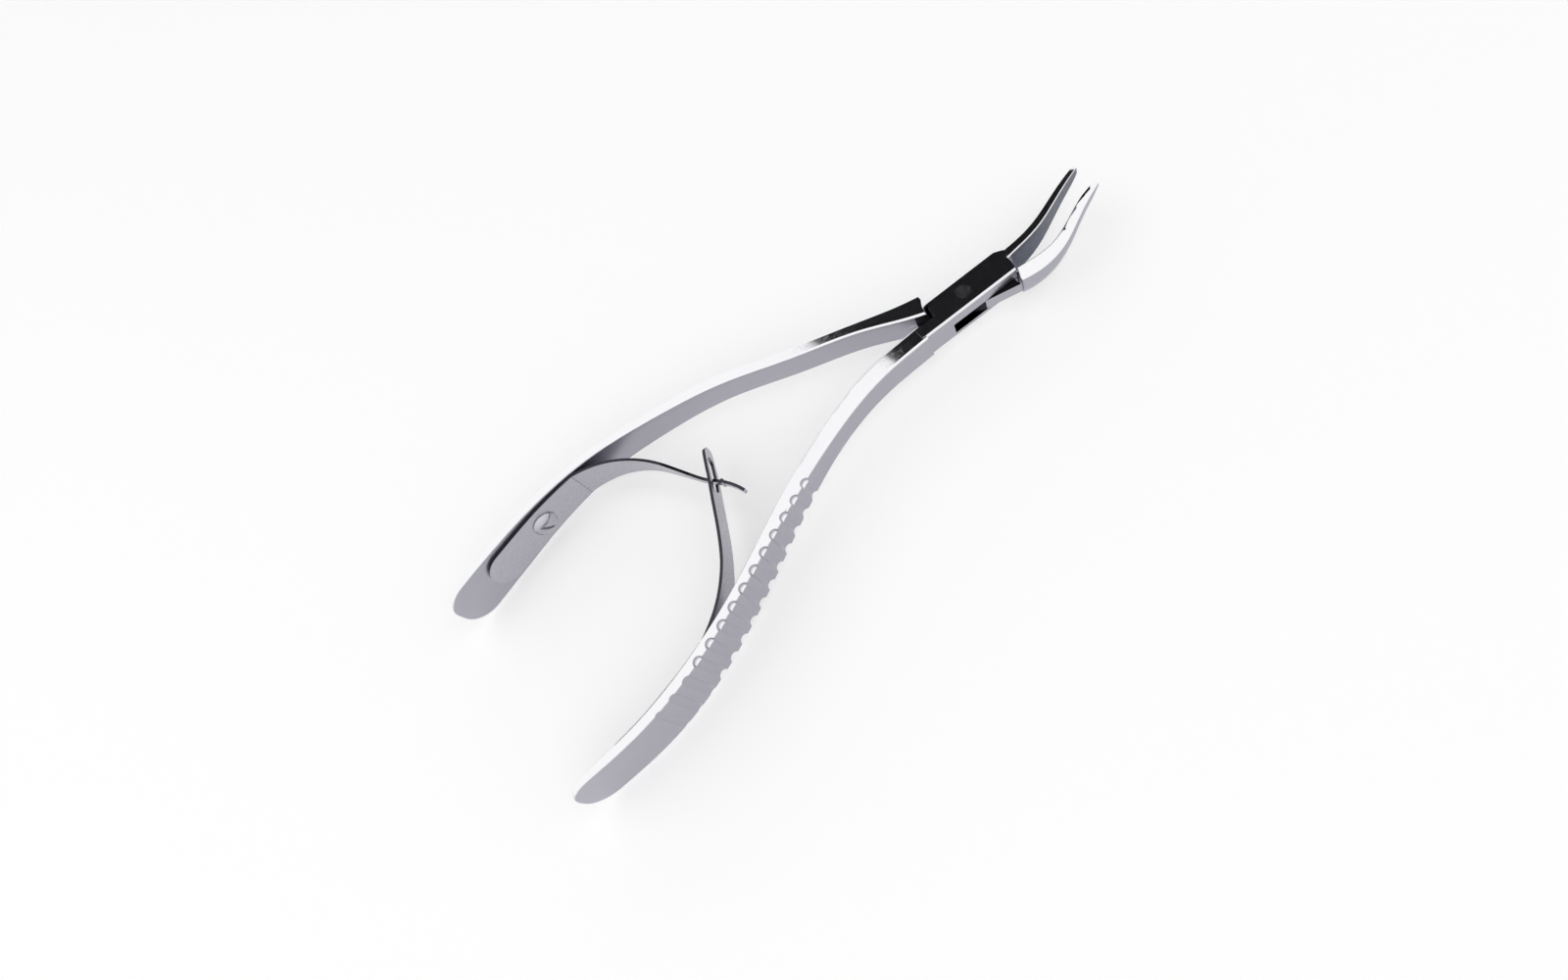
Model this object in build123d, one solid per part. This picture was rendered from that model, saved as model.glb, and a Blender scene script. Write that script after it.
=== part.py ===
"""Box-lock extraction forceps with a pair of interlocking leaf springs.

Millimetres. The origin is on the hinge axis, at the underside of the box. +Z is the hinge axis, +X runs
towards the beaks and +Y towards the web half's handle. The beaks are modelled open, as the springs hold them.
Each piece is drawn about the middle of the box and lifted onto the origin at the end.
"""
import os
from math import atan2, cos, degrees, hypot, pi, radians, sin

from build123d import *

# Box joint
box_width = 6.4             # across the hinge, from side to side
box_height = 6.2            # over both plates
box_back = 11.6             # hinge axis to the back of the box, where the box half's handle starts
box_front = 11.0            # hinge axis to the front of the box, where its beak starts
shoulder_back = 7.1         # radius of the box's round back corner, under the web half's shoulder
shoulder_front = 10.4       # radius of its round front corner
slot_floor = -2.05          # lower face of the slot through the box
slot_ceiling = 0.55         # upper face of it
slot_reach = 5.0            # hinge axis to the closed end of the slot, on each side
slot_side = 1.65            # hinge axis to the slot's side wall there
web_gap = 0.13              # above and below the web in its slot
shoulder_gap = 0.35         # between the box's round corners and the web half's shoulders
web_width = 4.2             # across the web
web_angle = -22.5           # direction of the web from the hinge to its beak
web_side_angle = -14.0      # direction of its open side, towards its beak
web_side = 2.43             # hinge axis to that side
box_edge = 0.35             # chamfer along the box's long edges
nose_start = 7.2            # where the box starts to narrow into its own beak
nose_side = 1.95            # its side there, at the front of the box
shoulder_bevel = 0.7        # bevel round the top and bottom of the web half's back shoulder
pin_radius = 1.5
pin_gap = 0.04              # running clearance of the web on the pin

# Handles: how far back each reaches from the box, and how far it stands out from the box's middle
box_handle_length = 100.8
box_handle_spread = 35.2
web_handle_length = 108.8
web_handle_spread = 24.3
neck_height = 5.9           # strap width, along the hinge axis, just behind the box
waist_height = 5.5          # narrowest place of the box half's handle
palm_height = 12.2          # widest place, near the end
neck_thickness = 3.8
web_neck_thickness = 3.0
waist_thickness = 2.7
palm_thickness = 2.1
end_thickness = 1.6         # at the very end
edge_round = 0.5            # rounding of the strap's long edges
end_round = 5.3             # rounding of the corners at the handle's end, nearly a half circle

# Grip grooves, cut across the outside of each handle
groove_count = 14
groove_pitch = 3.75
groove_radius = 1.5
groove_depth = 0.42
groove_edge = 1.5           # plain margin left at the web half's edges
groove_scoop = 1.15         # radius of the scallop that each groove bites out of the box half's edges
groove_start = 0.34         # place of the first one along the handle, as a share of its length

# Beaks
beak_length = 22.4          # from the box's front to the tip
beak_bend = 8.7             # how far the tip stands off the box's middle line
beak_height = 5.9
tip_height = 1.7
beak_thickness = 2.2
tip_thickness = 0.85
beak_bevel = 0.12           # bevel along the gripping edge, as a share of the thickness
box_beak_slope = 0.03       # fall of its top towards the outside, as a share of the thickness
web_beak_slope = 0.42
web_beak_short = 0.9        # the web half's beak ends this much before the other
beak_open = 8.7             # degrees between the beaks at rest

# Leaf springs
leaf_thickness = 0.65
leaf_root_height = 9.0      # strip width where it lies on the handle
bend_height = 8.2           # strip width at its bend, where the free arm starts
leaf_rest = 0.08            # gap under the strip, where it lies on the handle
bend_radius = 0.35          # round end of the free arm at the bend
bend_gap = 0.06             # between the clamped root and the free arm, at the bend
hook_height = 1.4           # neck of the hooked leaf
tee_height = 2.1            # cross bar near its tip
tee_radius = 0.5
leaf_slot_height = 2.6
leaf_slot_length = 7.8
leaf_slot_end = 2.1         # solid end of the leaf beyond its slot
screw_radius = 2.8          # head
screw_rise = 1.7
screw_rim = 0.3             # straight side under the dome
screw_shank = 1.1
screw_slot = 0.7
screw_slot_depth = 0.6
screw_turn = -50.0          # turn of its slot from the strip's direction, in degrees
screw_hold = 1.1            # depth of the shank in the handle
screw_seat_gap = 0.05

tall = 20                   # more than any height here, for cutting


def unit(a, b):
    length = hypot(b[0] - a[0], b[1] - a[1])
    return ((b[0] - a[0]) / length, (b[1] - a[1]) / length)


def normals(points):
    """Left-hand normals of a run of points, each from its neighbours."""
    last = len(points) - 1
    found = []
    for i in range(last + 1):
        tx, ty = unit(points[max(i - 1, 0)], points[min(i + 1, last)])
        found.append((-ty, tx))
    return found


def offset_points(points, distances):
    return [(x + nx * d, y + ny * d) for (x, y), (nx, ny), d in zip(points, normals(points), distances)]


def plan_body(left, right, height=tall):
    """Solid between two smooth lines seen along the hinge axis, with straight ends."""
    a, b = Spline(*left), Spline(*right)
    outline = [a, Line(a @ 1, b @ 1), b, Line(b @ 0, a @ 0)]
    return Pos(0, 0, -height / 2) * extrude(make_face(outline), height)


def across(face):
    """Carry an outline over X and Z right across the forceps."""
    return Pos(0, 80, 0) * extrude(Plane.XZ * face, 160)


def side_body(stations, tip_x=None, corner=0.0):
    """Solid with the given half heights seen from the side; stations are (x, half height)."""
    top = [(x, h) for x, h in stations]
    low = [(x, -h) for x, h in stations]
    a, b = Spline(*top), Spline(*low)
    face = make_face([a, Line(a @ 1, b @ 1), b, Line(b @ 0, a @ 0)])
    if corner:
        ends = face.vertices().sort_by(Axis.X)[:2]
        face = fillet(ends, corner)
    return across(face)


def longer(points, extra):
    """The same run of points, carried on straight past both ends."""
    (ax, ay), (bx, by) = unit(points[1], points[0]), unit(points[-2], points[-1])
    first, last = points[0], points[-1]
    return ([(first[0] + ax * extra, first[1] + ay * extra)] + points
            + [(last[0] + bx * extra, last[1] + by * extra)])


def face_points(points, thicknesses, side, lift=0.0):
    """Points along one face of a strap, or along a line lifted off that face."""
    thicknesses = [thicknesses[0]] + thicknesses + [thicknesses[-1]]
    return offset_points(longer(points, 3), [side * (t / 2 + lift) for t in thicknesses])


def strap(points, thicknesses, heights, corner):
    """A curved strap handle with rounded end corners and softened edges."""
    body = plan_body(face_points(points, thicknesses, 1), face_points(points, thicknesses, -1))
    body = body & side_body([(p[0], h / 2) for p, h in zip(points, heights)], corner=corner)
    front = points[0][0] - 1
    return fillet([e for e in body.edges() if e.bounding_box().min.X < front], edge_round)


def curve_y(points, x):
    """Height of the smooth line through the points at x, by bisection along it."""
    line = Spline(*points)
    low, high = 0.0, 1.0
    rising = (line @ 1).X > (line @ 0).X
    for _ in range(40):
        middle = (low + high) / 2
        if ((line @ middle).X < x) == rising:
            low = middle
        else:
            high = middle
    return (line @ low).Y, line % low


# Middle line of each handle, seen along the hinge axis, from the box to the end: an easy bow for the web
# half and a longer S for the box half.
def box_handle_line():
    shape = [(0.0, 0.05), (0.11, 0.07), (0.25, 0.18), (0.40, 0.39), (0.54, 0.625), (0.68, 0.82),
             (0.83, 0.945), (1.0, 1.0)]
    return [(-box_back + 0.8 - u * box_handle_length, -v * box_handle_spread) for u, v in shape]


def web_handle_line():
    shape = [(-0.045, 0.135), (0.0, 0.213), (0.06, 0.335), (0.19, 0.56), (0.33, 0.81), (0.48, 0.95),
             (0.62, 1.0), (0.74, 0.93), (0.87, 0.77), (1.0, 0.58)]
    return [(-box_back - u * web_handle_length, v * web_handle_spread) for u, v in shape]


def box_plates():
    """The box: a block with round corners where the web half's shoulders pass, and a slot right through."""
    half = box_width / 2
    block = Pos((box_front - box_back) / 2, 0, 0) * Box(box_back + box_front, box_width, box_height)
    block = chamfer(block.edges().filter_by(Axis.X), box_edge)
    middle_x = nose_start + 0.6 * (box_front - nose_start)
    nose = Polyline((nose_start, half), (middle_x, half - 0.35 * (half - nose_side)), (box_front, nose_side),
                    (box_front + 2, nose_side), (box_front + 2, half + 2), (nose_start, half + 2), close=True)
    block -= Pos(0, 0, -tall / 2) * extrude(make_face(nose), tall)
    back_corner = Pos(-box_back, half, 0) * Box(2 * (box_back - 3), 2 * half + 1.0, tall)
    back_corner -= Cylinder(shoulder_back, tall)
    front_corner = Pos(box_front, -half, 0) * Box(2 * (box_front - 3), 2 * half + 1.0, tall)
    front_corner -= Cylinder(shoulder_front, tall)
    block = block - back_corner - front_corner
    return block


def web_slot():
    """Space that the web swings in, from one side of the box to the other."""
    far = box_back + 4
    wall = slot_side
    outline = Polyline((-slot_reach, -far), (-slot_reach, -wall), (-far, 0.42), (-far, far),
                       (slot_reach, far), (slot_reach, wall), (far, -0.42), (far, -far), close=True)
    depth = slot_ceiling - slot_floor
    return Pos(0, 0, slot_floor) * extrude(make_face(outline), depth)


def beak(inner, thicknesses, heights, side, slope, bevel):
    """Tapering beak, lofted along its gripping line, with its outside tucked in underneath.

    The slope is how far its top falls towards the outside, and the bevel runs along its inner edge, both as
    shares of its thickness.
    """
    sections = []
    for (x, y), (nx, ny), t, h in zip(inner, normals(inner), thicknesses, heights):
        place = Plane(origin=(x, y, 0), x_dir=(nx * side, ny * side, 0), z_dir=(ny * side, -nx * side, 0))
        h = h / 2
        low, cut = slope * t, bevel * t
        outline = [Line((0, -h + cut), (0, h - cut)), Line((0, h - cut), (cut, h)),
                   ThreePointArc((cut, h), (t * 0.55, h - low * 0.35), (t * 0.96, h - low)),
                   ThreePointArc((t * 0.96, h - low), (t * 1.03, h * 0.1), (t * 0.68, -h + cut)),
                   ThreePointArc((t * 0.68, -h + cut), (t * 0.35, -h), (0, -h + cut))]
        sections.append(place * make_face(outline))
    return loft(sections)


def beak_inner_line():
    """Gripping line of the box half's beak: the hollow near the box lets only the ends meet."""
    shape = [(-0.04, -0.01), (0.20, 0.085), (0.45, 0.30), (0.69, 0.605), (0.875, 0.825), (1.0, 0.98)]
    return [(box_front + u * beak_length, v * beak_bend) for u, v in shape]


def web_beak_inner_line():
    """The same line for the other beak, turned open about the hinge axis and hollowed more at its root."""
    hollow = [1.3, 1.9, 1.75, 0.75, 0.1, 0.05]
    reach = (beak_length - web_beak_short) / beak_length
    line = [(box_front + (x - box_front) * reach, y - h) for (x, y), h in zip(beak_inner_line(), hollow)]
    a = radians(-beak_open)
    return [(x * cos(a) - y * sin(a), x * sin(a) + y * cos(a)) for x, y in line]


def grooves(points, thicknesses, heights, side, through):
    """Round-bottomed grooves across the outside of a handle, evenly spaced along it.

    Grooves that go right through also bite a scallop out of the handle's two edges. The others stop short.
    """
    face = Spline(*offset_points(points, [side * t / 2 for t in thicknesses]))
    length = face.length
    cutters = []
    for i in range(groove_count):
        at = (groove_start * length + i * groove_pitch) / length
        if at > 0.93:
            break
        centre, along = face @ at, face % at
        out = Vector(-along.Y, along.X) * side
        fade = min(1.0, 0.45 + 0.2 * min(i, groove_count - 1 - i))
        deep = centre + out * (groove_radius - groove_depth * fade)
        height = curve_y(list(zip([p[0] for p in points], heights)), centre.X)[0]
        if through:
            cutters.append(Pos(deep.X, deep.Y, 0) * Cylinder(groove_radius, tall))
            if i < groove_count - 3:
                bite = centre + out * groove_scoop * (0.35 - 0.25 * fade)
                for end in (-1, 1):
                    cutters.append(Pos(bite.X, bite.Y, end * (height / 2 - 0.2)) * Sphere(groove_scoop))
        else:
            cutters.append(Pos(deep.X, deep.Y, 0) * Cylinder(groove_radius, height - 2 * groove_edge))
    return cutters


box_line = box_handle_line()
box_thickness = [neck_thickness, neck_thickness, 3.5, 3.0, waist_thickness - 0.6, palm_thickness,
                 palm_thickness - 0.1, end_thickness]
box_strap_heights = [box_height - 0.1, neck_height, waist_height, waist_height + 2.0, 10.0, palm_height - 0.6,
                     palm_height, palm_height]
web_line = web_handle_line()
web_thickness = [web_width + 0.7, web_width - 0.1, web_neck_thickness, waist_thickness, waist_thickness,
                 2.4, palm_thickness, palm_thickness - 0.1, palm_thickness - 0.3, end_thickness]
web_strap_heights = [box_height - 0.1, box_height - 0.1, box_height - 0.1, 6.1, 6.2, 7.1, 8.7, 10.8,
                     palm_height, palm_height]


def leaf_strip(points):
    """Strip of spring steel along a line, tall enough to be trimmed to its outline."""
    half = leaf_thickness / 2
    left = offset_points(points, [half] * len(points))
    return plan_body(left, offset_points(points, [-half] * len(points)))


def side_outline(stations, round_back=0.0):
    """Strip outline over X: stations are (x, half height), from the back to the front."""
    upper = [(x, h) for x, h in stations]
    outline = Polyline(*upper, *[(x, -h) for x, h in reversed(upper)], close=True)
    face = make_face(outline)
    if round_back:
        face = fillet(face.vertices().sort_by(Axis.X)[:2], round_back)
    return across(face)


# Places along the handles where the strips leave them, where their screws sit and where the strips end
hook_bend_x, hook_screw_x, hook_end_x = -84.0, -95.2, -110.5
slot_bend_x, slot_screw_x, slot_end_x = -77.5, -88.5, -103.0


def on_inner_face(line, thicknesses, side, x, lift):
    """Point over the inside of a handle at x, lifted off it, with the direction along the handle there."""
    y, along = curve_y(face_points(line, thicknesses, side, lift), x)
    return (x, y), along


def root_points(line, thicknesses, side, front_x, back_x):
    lift = leaf_rest + leaf_thickness / 2
    return [on_inner_face(line, thicknesses, side, front_x + (back_x - front_x) * i / 5, lift)[0]
            for i in range(6)]


hook_root_line = root_points(web_line, web_thickness, 1, hook_bend_x, hook_end_x)
slot_root_line = root_points(box_line, box_thickness, -1, slot_bend_x, slot_end_x)
hook_bend = hook_root_line[0]
slot_bend = slot_root_line[0]

# Free arms, from the bend to the tip, as steps from the bend
hook_arm_line = [(hook_bend[0] + dx, hook_bend[1] + dy) for dx, dy in
                 [(0, 0), (5.0, -1.0), (8.7, -2.6), (12.2, -5.0), (15.6, -8.4), (18.4, -12.4), (20.8, -16.2),
                  (23.0, -19.4), (25.3, -21.9), (26.9, -24.2), (28.0, -26.6)]]

# The slotted arm follows the place where the hooked one passes through it, so that they still meet when the
# handles' sizes change.
crossing = hook_arm_line[7]
crossing_step = (16.5, 29.74)   # from the slotted leaf's bend to the crossing, where the arm needs no shift
slot_arm_steps = [(0, 0), (2.6, 1.9), (6.2, 5.2), (10.2, 10.8), (13.2, 17.4), (16.1, 25.6), (17.5, 29.5),
                  (18.7, 33.4), (19.7, 36.2)]
shift_x = crossing[0] - slot_bend[0] - crossing_step[0]
shift_y = crossing[1] - slot_bend[1] - crossing_step[1]
slot_arm_line = []
for dx, dy in slot_arm_steps:
    part_way = min(1.0, dy / slot_arm_steps[5][1])
    slot_arm_line.append((slot_bend[0] + dx + part_way * shift_x, slot_bend[1] + dy + part_way * shift_y))


def leaf_root(points):
    """Clamped length of a leaf: it lies on the handle and ends in a rounded tongue."""
    full, narrow = leaf_root_height / 2, bend_height / 2
    heights = [(points[-1][0], full), (points[2][0], full), (points[0][0], narrow),
               (points[0][0] + 2, narrow - 0.2)]
    body = leaf_strip(points) & side_outline(heights, round_back=full - 0.2)
    return body - Pos(*points[0]) * Cylinder(bend_radius + bend_gap, tall)


def hook_arm():
    """Free arm of the hooked leaf: it narrows to a neck, then ends in a cross bar."""
    neck = hook_height / 2
    x0 = hook_bend[0]
    wide = [(x0 - 3, bend_height / 2 + 0.2), (x0 + 5, 3.5), (x0 + 11, 2.7), (x0 + 17, 1.8),
            (x0 + 20.5, neck + 0.3), (x0 + 22.5, neck), (x0 + 40, neck)]
    arm = leaf_strip(hook_arm_line) & side_outline(wide)
    arm += Pos(*hook_bend) * Cylinder(bend_radius, bend_height)
    bar_at = hook_arm_line[-3]
    arm += Pos(*bar_at) * Cylinder(tee_radius, tee_height)
    return arm


def slot_arm():
    """Free arm of the slotted leaf: it narrows to a rounded end, with a long slot for the other leaf."""
    points = slot_arm_line
    strip = leaf_strip(points)
    y0 = points[0][1]
    stations = [(y0 - 3, bend_height / 2 + 0.2), (y0 + 4, 3.3), (y0 + 12, 2.5), (y0 + 24, 2.45),
                (y0 + 31, 2.35), (points[-1][1], 1.9)]
    outline = Polyline(*[(y, h) for y, h in stations], *[(y, -h) for y, h in reversed(stations)], close=True)
    face = fillet(make_face(outline).vertices().sort_by(Axis.X)[-2:], 1.8)
    profile = extrude(Plane(origin=(0, 0, 0), x_dir=(0, 1, 0), z_dir=(1, 0, 0)) * face, 120, both=True)
    arm = strip & profile
    top = points[-1][1] - leaf_slot_end
    slot = SlotOverall(leaf_slot_length, leaf_slot_height)
    place = Plane(origin=(0, top - leaf_slot_length / 2, 0), x_dir=(0, 1, 0), z_dir=(1, 0, 0))
    arm -= extrude(place * slot, 120, both=True)
    return arm + Pos(*slot_bend) * Cylinder(bend_radius, bend_height)


def leaf_screw(line, thicknesses, side, x):
    """Slotted dome-headed screw standing on the strip, with its shank in the handle."""
    seat, along = on_inner_face(line, thicknesses, side, x, leaf_rest + leaf_thickness + screw_seat_gap)
    out = Vector(-along.Y, along.X, 0) * side
    place = Plane(origin=(seat[0], seat[1], 0), x_dir=(along.X, along.Y, 0), z_dir=(out.X, out.Y, 0))
    dome = screw_rise - screw_rim
    dome_radius = (screw_radius ** 2 + dome ** 2) / (2 * dome)
    head = Pos(0, 0, screw_rise - dome_radius) * Sphere(dome_radius)
    head &= Pos(0, 0, screw_rise / 2) * Cylinder(screw_radius, screw_rise)
    cut = Box(2.2 * screw_radius, screw_slot, 2 * screw_slot_depth)
    head -= Pos(0, 0, screw_rise) * Rot(0, 0, screw_turn) * cut
    shank_length = leaf_thickness + screw_hold
    shank = Pos(0, 0, -shank_length / 2) * Cylinder(screw_shank, shank_length)
    return place * (head + shank), place


def screw_hole():
    """Space for a screw's shank, from over the strip to the shank's end in the handle."""
    depth = leaf_thickness + screw_hold
    return Pos(0, 0, (1 - depth) / 2) * Cylinder(screw_shank, depth + 1)


def box_half():
    body = box_plates() + strap(box_line, box_thickness, box_strap_heights, end_round)
    body -= web_slot()
    inner = beak_inner_line()
    body += beak(inner, [beak_thickness - 0.2, 1.6, 1.5, 1.3, 1.1, tip_thickness],
                 [box_height - 0.1, beak_height, 4.6, 3.5, 2.8, tip_height], 1, box_beak_slope, beak_bevel)
    for cutter in grooves(box_line, box_thickness, box_strap_heights, 1, True):
        body -= cutter
    body -= Cylinder(pin_radius, tall)
    return body


def web_half():
    """Handle, web and beak of the half that passes through the box."""
    handle = strap(web_line, web_thickness, web_strap_heights, end_round)
    handle -= Cylinder(shoulder_back + shoulder_gap, tall)
    bevel = Pos(0, 0, box_height / 2 - shoulder_bevel / 2 + 0.01) * Cone(
        shoulder_back + shoulder_gap, shoulder_back + shoulder_gap + shoulder_bevel, shoulder_bevel + 0.02)
    handle = handle - bevel - Rot(180, 0, 0) * bevel
    inner = web_beak_inner_line()
    point = beak(inner, [beak_thickness + 0.4, 2.6, 2.0, 1.65, 1.35, tip_thickness],
                 [box_height - 0.1, beak_height, 4.6, 3.9, 3.1, tip_height], -1, web_beak_slope, beak_bevel)
    point -= Cylinder(shoulder_front + shoulder_gap, tall)
    thick = slot_ceiling - slot_floor - 2 * web_gap
    web = Pos(0, 0, slot_floor + web_gap + thick / 2) * Rot(0, 0, web_angle) * Box(30, web_width, thick)
    web -= Rot(0, 0, web_side_angle) * Pos(0, -web_side - 10, 0) * Box(60, 20, tall)
    body = handle + (web & Cylinder(shoulder_front + 1.3, tall)) + point
    for cutter in grooves(web_line, web_thickness, web_strap_heights, -1, False):
        body -= cutter
    return body - Cylinder(pin_radius + pin_gap, tall)


def joint_pin():
    return Cylinder(pin_radius, box_height)


os.makedirs("parts", exist_ok=True)
hook_screw, hook_place = leaf_screw(web_line, web_thickness, 1, hook_screw_x)
slot_screw, slot_place = leaf_screw(box_line, box_thickness, -1, slot_screw_x)
web_body = web_half() - hook_place * screw_hole()
box_body = box_half() - slot_place * screw_hole()
hook_root = leaf_root(hook_root_line) - hook_place * screw_hole()
slot_root = leaf_root(slot_root_line) - slot_place * screw_hole()
pieces = {
    "box_half": box_body,
    "web_half": web_body,
    "joint_pin": joint_pin(),
    "hook_leaf_root": hook_root,
    "hook_leaf_arm": hook_arm(),
    "slot_leaf_root": slot_root,
    "slot_leaf_arm": slot_arm(),
    "hook_leaf_screw": hook_screw,
    "slot_leaf_screw": slot_screw,
}
for name, piece in pieces.items():
    piece = Pos(0, 0, box_height / 2) * piece
    piece.label = name
    export_step(piece, f"parts/{name}.step")
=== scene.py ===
import bpy, math
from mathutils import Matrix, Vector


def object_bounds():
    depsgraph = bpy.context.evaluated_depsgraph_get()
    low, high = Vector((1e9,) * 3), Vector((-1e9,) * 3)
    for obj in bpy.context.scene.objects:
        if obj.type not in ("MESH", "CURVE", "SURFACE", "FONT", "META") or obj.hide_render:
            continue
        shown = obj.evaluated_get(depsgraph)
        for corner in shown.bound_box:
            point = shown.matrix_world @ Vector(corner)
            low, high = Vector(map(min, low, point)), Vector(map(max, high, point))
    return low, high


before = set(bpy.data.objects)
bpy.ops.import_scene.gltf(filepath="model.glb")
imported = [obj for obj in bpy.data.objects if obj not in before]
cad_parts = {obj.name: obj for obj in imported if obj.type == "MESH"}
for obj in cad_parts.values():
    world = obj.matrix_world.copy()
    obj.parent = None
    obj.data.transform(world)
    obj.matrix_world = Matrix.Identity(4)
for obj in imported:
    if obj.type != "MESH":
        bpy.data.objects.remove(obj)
cad_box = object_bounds()


# The two halves of the forceps: forged stainless steel. A fine wheel leaves the wide faces satin, and the
# narrow edges, the box and the beaks' tops are polished bright. Painted shade colours the joint's inside
# near black, and the beaks' gripping faces are coloured dark grey.
def maths(tree, operation, *values):
    """Math node on sockets or constants."""
    node = tree.nodes.new("ShaderNodeMath"); node.operation = operation
    for socket, value in zip(node.inputs, values):
        if isinstance(value, bpy.types.NodeSocket):
            tree.links.new(value, socket)
        else:
            socket.default_value = value
    return node.outputs[0]


def ramp(tree, value, start, end, low=0.0, high=1.0):
    """Map Range node: low where the value is at start, high at end, and level beyond both."""
    node = tree.nodes.new("ShaderNodeMapRange")
    for name, level in (("From Min", start), ("From Max", end), ("To Min", low), ("To Max", high)):
        node.inputs[name].default_value = level
    tree.links.new(value, node.inputs["Value"])
    return node.outputs["Result"]


def blend(tree, factor, first, second, kind="RGBA"):
    """Mix node between two sockets or constant colours."""
    node = tree.nodes.new("ShaderNodeMix"); node.data_type = kind
    tree.links.new(factor, node.inputs["Factor"])
    for name, value in (("A", first), ("B", second)):
        if isinstance(value, bpy.types.NodeSocket):
            tree.links.new(value, node.inputs[name])
        else:
            node.inputs[name].default_value = (*value, 1)
    return node.outputs["Result"]


def split(tree, source, output):
    """The X, Y and Z sockets of a node's vector output."""
    node = tree.nodes.new("ShaderNodeSeparateXYZ")
    tree.links.new(tree.nodes.new(source).outputs[output], node.inputs[0])
    return node.outputs


def scaled(colour, factor):
    return [min(1, channel * factor) for channel in colour]


def steel_grain():
    """Node group: fine brushed streaks, soft cloudiness and tiny scuffs over a piece."""
    group = bpy.data.node_groups.new("steel_grain", "ShaderNodeTree")
    group.interface.new_socket("Scale", in_out="INPUT", socket_type="NodeSocketFloat").default_value = 2600.0
    stretch = group.interface.new_socket("Stretch", in_out="INPUT", socket_type="NodeSocketVector")
    stretch.default_value = (0.08, 0.6, 1)
    for name in ("Streak", "Cloud", "Scuff"):
        group.interface.new_socket(name, in_out="OUTPUT", socket_type="NodeSocketFloat")
    nodes, link = group.nodes, group.links.new
    given, result = nodes.new("NodeGroupInput"), nodes.new("NodeGroupOutput")
    place = nodes.new("ShaderNodeTexCoord").outputs["Object"]
    along = nodes.new("ShaderNodeVectorMath"); along.operation = "MULTIPLY"
    link(place, along.inputs[0])
    link(given.outputs["Stretch"], along.inputs[1])
    streak = nodes.new("ShaderNodeTexNoise"); streak.inputs["Detail"].default_value = 3
    link(along.outputs[0], streak.inputs["Vector"])
    link(given.outputs["Scale"], streak.inputs["Scale"])
    cloud = nodes.new("ShaderNodeTexNoise"); cloud.inputs["Detail"].default_value = 3
    cloud.inputs["Scale"].default_value = 130
    link(place, cloud.inputs["Vector"])
    scuff = nodes.new("ShaderNodeTexNoise"); scuff.inputs["Detail"].default_value = 5
    scuff.inputs["Scale"].default_value = 900
    scuff.inputs["Distortion"].default_value = 1.2
    link(place, scuff.inputs["Vector"])
    for name, noise in (("Streak", streak), ("Cloud", cloud), ("Scuff", scuff)):
        link(noise.outputs["Fac"], result.inputs[name])
    return group


def joint_painted_shade():
    """Node group: mask of the surfaces inside the joint and the web's top beside it, where shade is painted
    near black.
    """
    group = bpy.data.node_groups.new("joint_painted_shade", "ShaderNodeTree")
    group.interface.new_socket("Mask", in_out="OUTPUT", socket_type="NodeSocketFloat")
    place = split(group, "ShaderNodeTexCoord", "Object")
    facing = split(group, "ShaderNodeNewGeometry", "Normal")
    middle = 0.0031                      # half the box's height
    box_inside = (("X", 0.0100), ("Y", 0.00312), ("Z", 0.00272))
    web_top = (("X", 0.0093), ("Y", 0.0056), ("Z", 0.0007))
    masks = []
    for mask, reaches in ((1.0, box_inside), (maths(group, "GREATER_THAN", facing["Z"], 0.7), web_top)):
        for axis, reach in reaches:
            off = maths(group, "SUBTRACT", place[axis], middle if axis == "Z" else 0.0)
            near = maths(group, "LESS_THAN", maths(group, "ABSOLUTE", off), reach)
            mask = maths(group, "MULTIPLY", mask, near)
        masks.append(mask)
    result = group.nodes.new("NodeGroupOutput")
    group.links.new(maths(group, "MAXIMUM", *masks), result.inputs["Mask"])
    return group


def gripping_face(tree, facing, upright, side):
    """Mask of the beak's inner face, past the box, that looks towards side (1 or -1) along Y."""
    beak_start, beak_full = 0.0108, 0.0116
    beyond = ramp(tree, split(tree, "ShaderNodeTexCoord", "Object")["X"], beak_start, beak_full)
    inward = ramp(tree, facing["Y"], 0.3 * side, 0.6 * side)
    return maths(tree, "MULTIPLY", maths(tree, "MULTIPLY", beyond, inward), upright)


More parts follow.
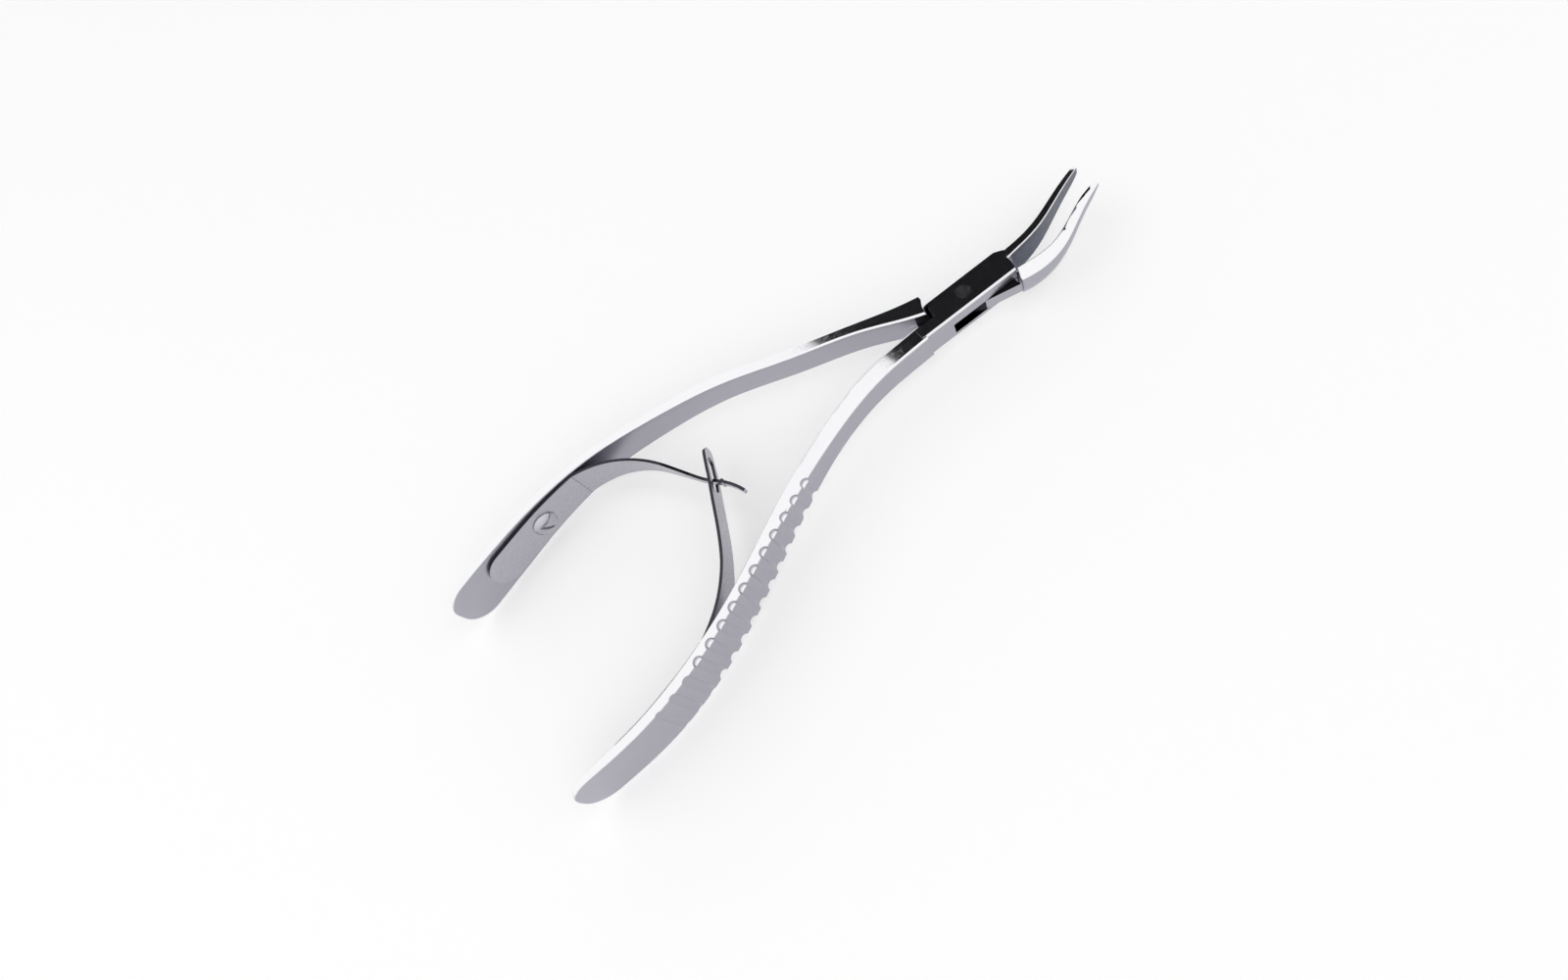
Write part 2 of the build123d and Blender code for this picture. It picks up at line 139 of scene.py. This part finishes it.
def steel(name, satin, bright, rough, rough_polished, bump, painted_shade=None, grip=0, grain_scale=2600.0):
    """Stainless steel: satin on faces that stand along the hinge axis, bright on those square to it."""
    material = bpy.data.materials.new(name); material.use_nodes = True
    tree = material.node_tree
    surface = tree.nodes["Principled BSDF"]
    surface.inputs["Metallic"].default_value = 1.0
    marks = tree.nodes.new("ShaderNodeGroup"); marks.node_tree = GRAIN
    marks.inputs["Scale"].default_value = grain_scale
    facing = split(tree, "ShaderNodeNewGeometry", "Normal")
    flat = ramp(tree, maths(tree, "ABSOLUTE", facing["Z"]), 0.35, 0.75)

    brushed = blend(tree, marks.outputs["Streak"], scaled(satin, 0.90), scaled(satin, 1.12))
    brushed = blend(tree, marks.outputs["Cloud"], brushed, scaled(satin, 1.04))
    colour = blend(tree, flat, brushed, bright)
    # Painted shade: the joint's inside and the web's top beside it are coloured near black.
    if painted_shade:
        shade_node = tree.nodes.new("ShaderNodeGroup"); shade_node.node_tree = painted_shade
        colour = blend(tree, shade_node.outputs["Mask"], colour, (0.018, 0.018, 0.022))
    # The beaks' gripping faces are coloured dark grey, mottled by the scuff noise.
    if grip:
        mask = gripping_face(tree, facing, maths(tree, "SUBTRACT", 1.0, flat), grip)
        dark_grip_colour = blend(tree, marks.outputs["Scuff"], (0.05, 0.054, 0.08), (0.16, 0.17, 0.22))
        colour = blend(tree, mask, colour, dark_grip_colour)
    tree.links.new(colour, surface.inputs["Base Color"])

    spread = 0.04
    rough_satin = ramp(tree, marks.outputs["Streak"], 0.3, 0.7, rough - spread, rough + spread)
    rough_bright = ramp(tree, marks.outputs["Scuff"], 0.45, 0.75, rough_polished, rough_polished + 0.05)
    tree.links.new(blend(tree, flat, rough_satin, rough_bright, "FLOAT"), surface.inputs["Roughness"])

    relief = tree.nodes.new("ShaderNodeBump"); relief.inputs["Strength"].default_value = bump
    relief.inputs["Distance"].default_value = 0.00001
    tree.links.new(marks.outputs["Streak"], relief.inputs["Height"])
    tree.links.new(relief.outputs["Normal"], surface.inputs["Normal"])
    return material


def dress(node, material):
    for slot in bpy.data.objects[node].material_slots:
        slot.material = material


GRAIN = steel_grain()
# Mask for the painted shade inside the joint and on the web's top beside it.
joint_shade = joint_painted_shade()
for node, grip in (("box_half", -1), ("web_half", 1)):
    dress(node, steel("satin_" + node, (0.41, 0.405, 0.455), (0.93, 0.93, 0.95), 0.33, 0.06, 0.12,
                      painted_shade=joint_shade, grip=grip))

# The leaf springs: two strips of hardened spring steel, screwed to the palms. Their faces are ground satin,
# and their sheared edges are coloured near black.
leaf_steel = steel("leaf_steel", (0.44, 0.43, 0.475), (0.055, 0.053, 0.065), 0.27, 0.22, 0.10)
for node in ("hook_leaf_root", "hook_leaf_arm", "slot_leaf_root", "slot_leaf_arm"):
    dress(node, leaf_steel)

# The leaf screws and the joint pin: turned stainless steel. The screws' domes are lightly polished, and the
# pin's ends are ground flush with the box.
screw_steel = steel("screw_steel", (0.42, 0.41, 0.45), (0.62, 0.61, 0.65), 0.20, 0.16, 0.05,
                    grain_scale=1500.0)
for node in ("joint_pin", "hook_leaf_screw", "slot_leaf_screw"):
    dress(node, screw_steel)

# The floor: a plain white sheet under the instrument, which keeps the instrument's soft shadow. The camera
# and the metal both see it white.
bpy.ops.mesh.primitive_plane_add(size=6, location=(0, 0, cad_box[0][2] - 0.0005))
floor = bpy.context.object; floor.name = "floor"
paper = bpy.data.materials.new("pale_floor"); paper.use_nodes = True
tree = paper.node_tree
tree.nodes.clear()
path = tree.nodes.new("ShaderNodeLightPath").outputs
seen = maths(tree, "MAXIMUM", path["Is Camera Ray"], path["Is Glossy Ray"])
seen = maths(tree, "MAXIMUM", seen, path["Is Transmission Ray"])
unlit = tree.nodes.new("ShaderNodeEmission"); unlit.inputs["Color"].default_value = (0, 0, 0, 1)
lit = tree.nodes.new("ShaderNodeEmission"); lit.inputs["Color"].default_value = (0.28, 0.28, 0.28, 1)
glow = tree.nodes.new("ShaderNodeMixShader")
matt = tree.nodes.new("ShaderNodeBsdfDiffuse"); matt.inputs["Color"].default_value = (0.80, 0.80, 0.80, 1)
total = tree.nodes.new("ShaderNodeAddShader")
out = tree.nodes.new("ShaderNodeOutputMaterial")
for source, target in ((seen, glow.inputs[0]), (unlit.outputs[0], glow.inputs[1]),
                       (lit.outputs[0], glow.inputs[2]), (matt.outputs[0], total.inputs[0]),
                       (glow.outputs[0], total.inputs[1]), (total.outputs[0], out.inputs["Surface"])):
    tree.links.new(source, target)
floor.data.materials.append(paper)

# The black card: a sheet hung flat above the beaks' side of the instrument. Every ray sees it, and the
# polished faces that point at it, such as the top of the box, mirror it dark.
card_height, card_front, card_back, card_right = 1.2, 0.2, 2.0, 1.8
card_left, card_slant = 0.415, 0.35
corners = [(card_left - card_slant * card_front, card_front), (card_right, card_front),
           (card_right, card_back), (card_left - card_slant * card_back, card_back)]
sheet = bpy.data.meshes.new("black_card")
sheet.from_pydata([(x, y, card_height) for x, y in corners], [], [(3, 2, 1, 0)])
card = bpy.data.objects.new("black_card", sheet); bpy.context.scene.collection.objects.link(card)
felt = bpy.data.materials.new("black_card"); felt.use_nodes = True
felt_surface = felt.node_tree.nodes["Principled BSDF"].inputs
felt_surface["Base Color"].default_value = (0.012, 0.012, 0.014, 1)
felt_surface["Roughness"].default_value = 0.9
felt_surface["Specular IOR Level"].default_value = 0.1
sheet.materials.append(felt)

# The studio: even white light from all round, the same for every ray.
world = bpy.data.worlds.new("studio"); bpy.context.scene.world = world; world.use_nodes = True
world.node_tree.nodes["Background"].inputs["Color"].default_value = (1, 1, 1, 1)
world.node_tree.nodes["Background"].inputs["Strength"].default_value = 1.0

# The camera, close above the instrument on the box half's side.
lens = bpy.data.cameras.new("camera"); lens.lens = 19.125; lens.sensor_width = 36; lens.clip_start = 0.005
camera = bpy.data.objects.new("camera", lens); bpy.context.scene.collection.objects.link(camera)
camera.location = (-0.04073, -0.09114, 0.13882)
camera.rotation_euler = [math.radians(angle) for angle in (24.0875, 20.6017, -31.9139)]
bpy.context.scene.camera = camera
bpy.context.scene.view_settings.view_transform = "Standard"
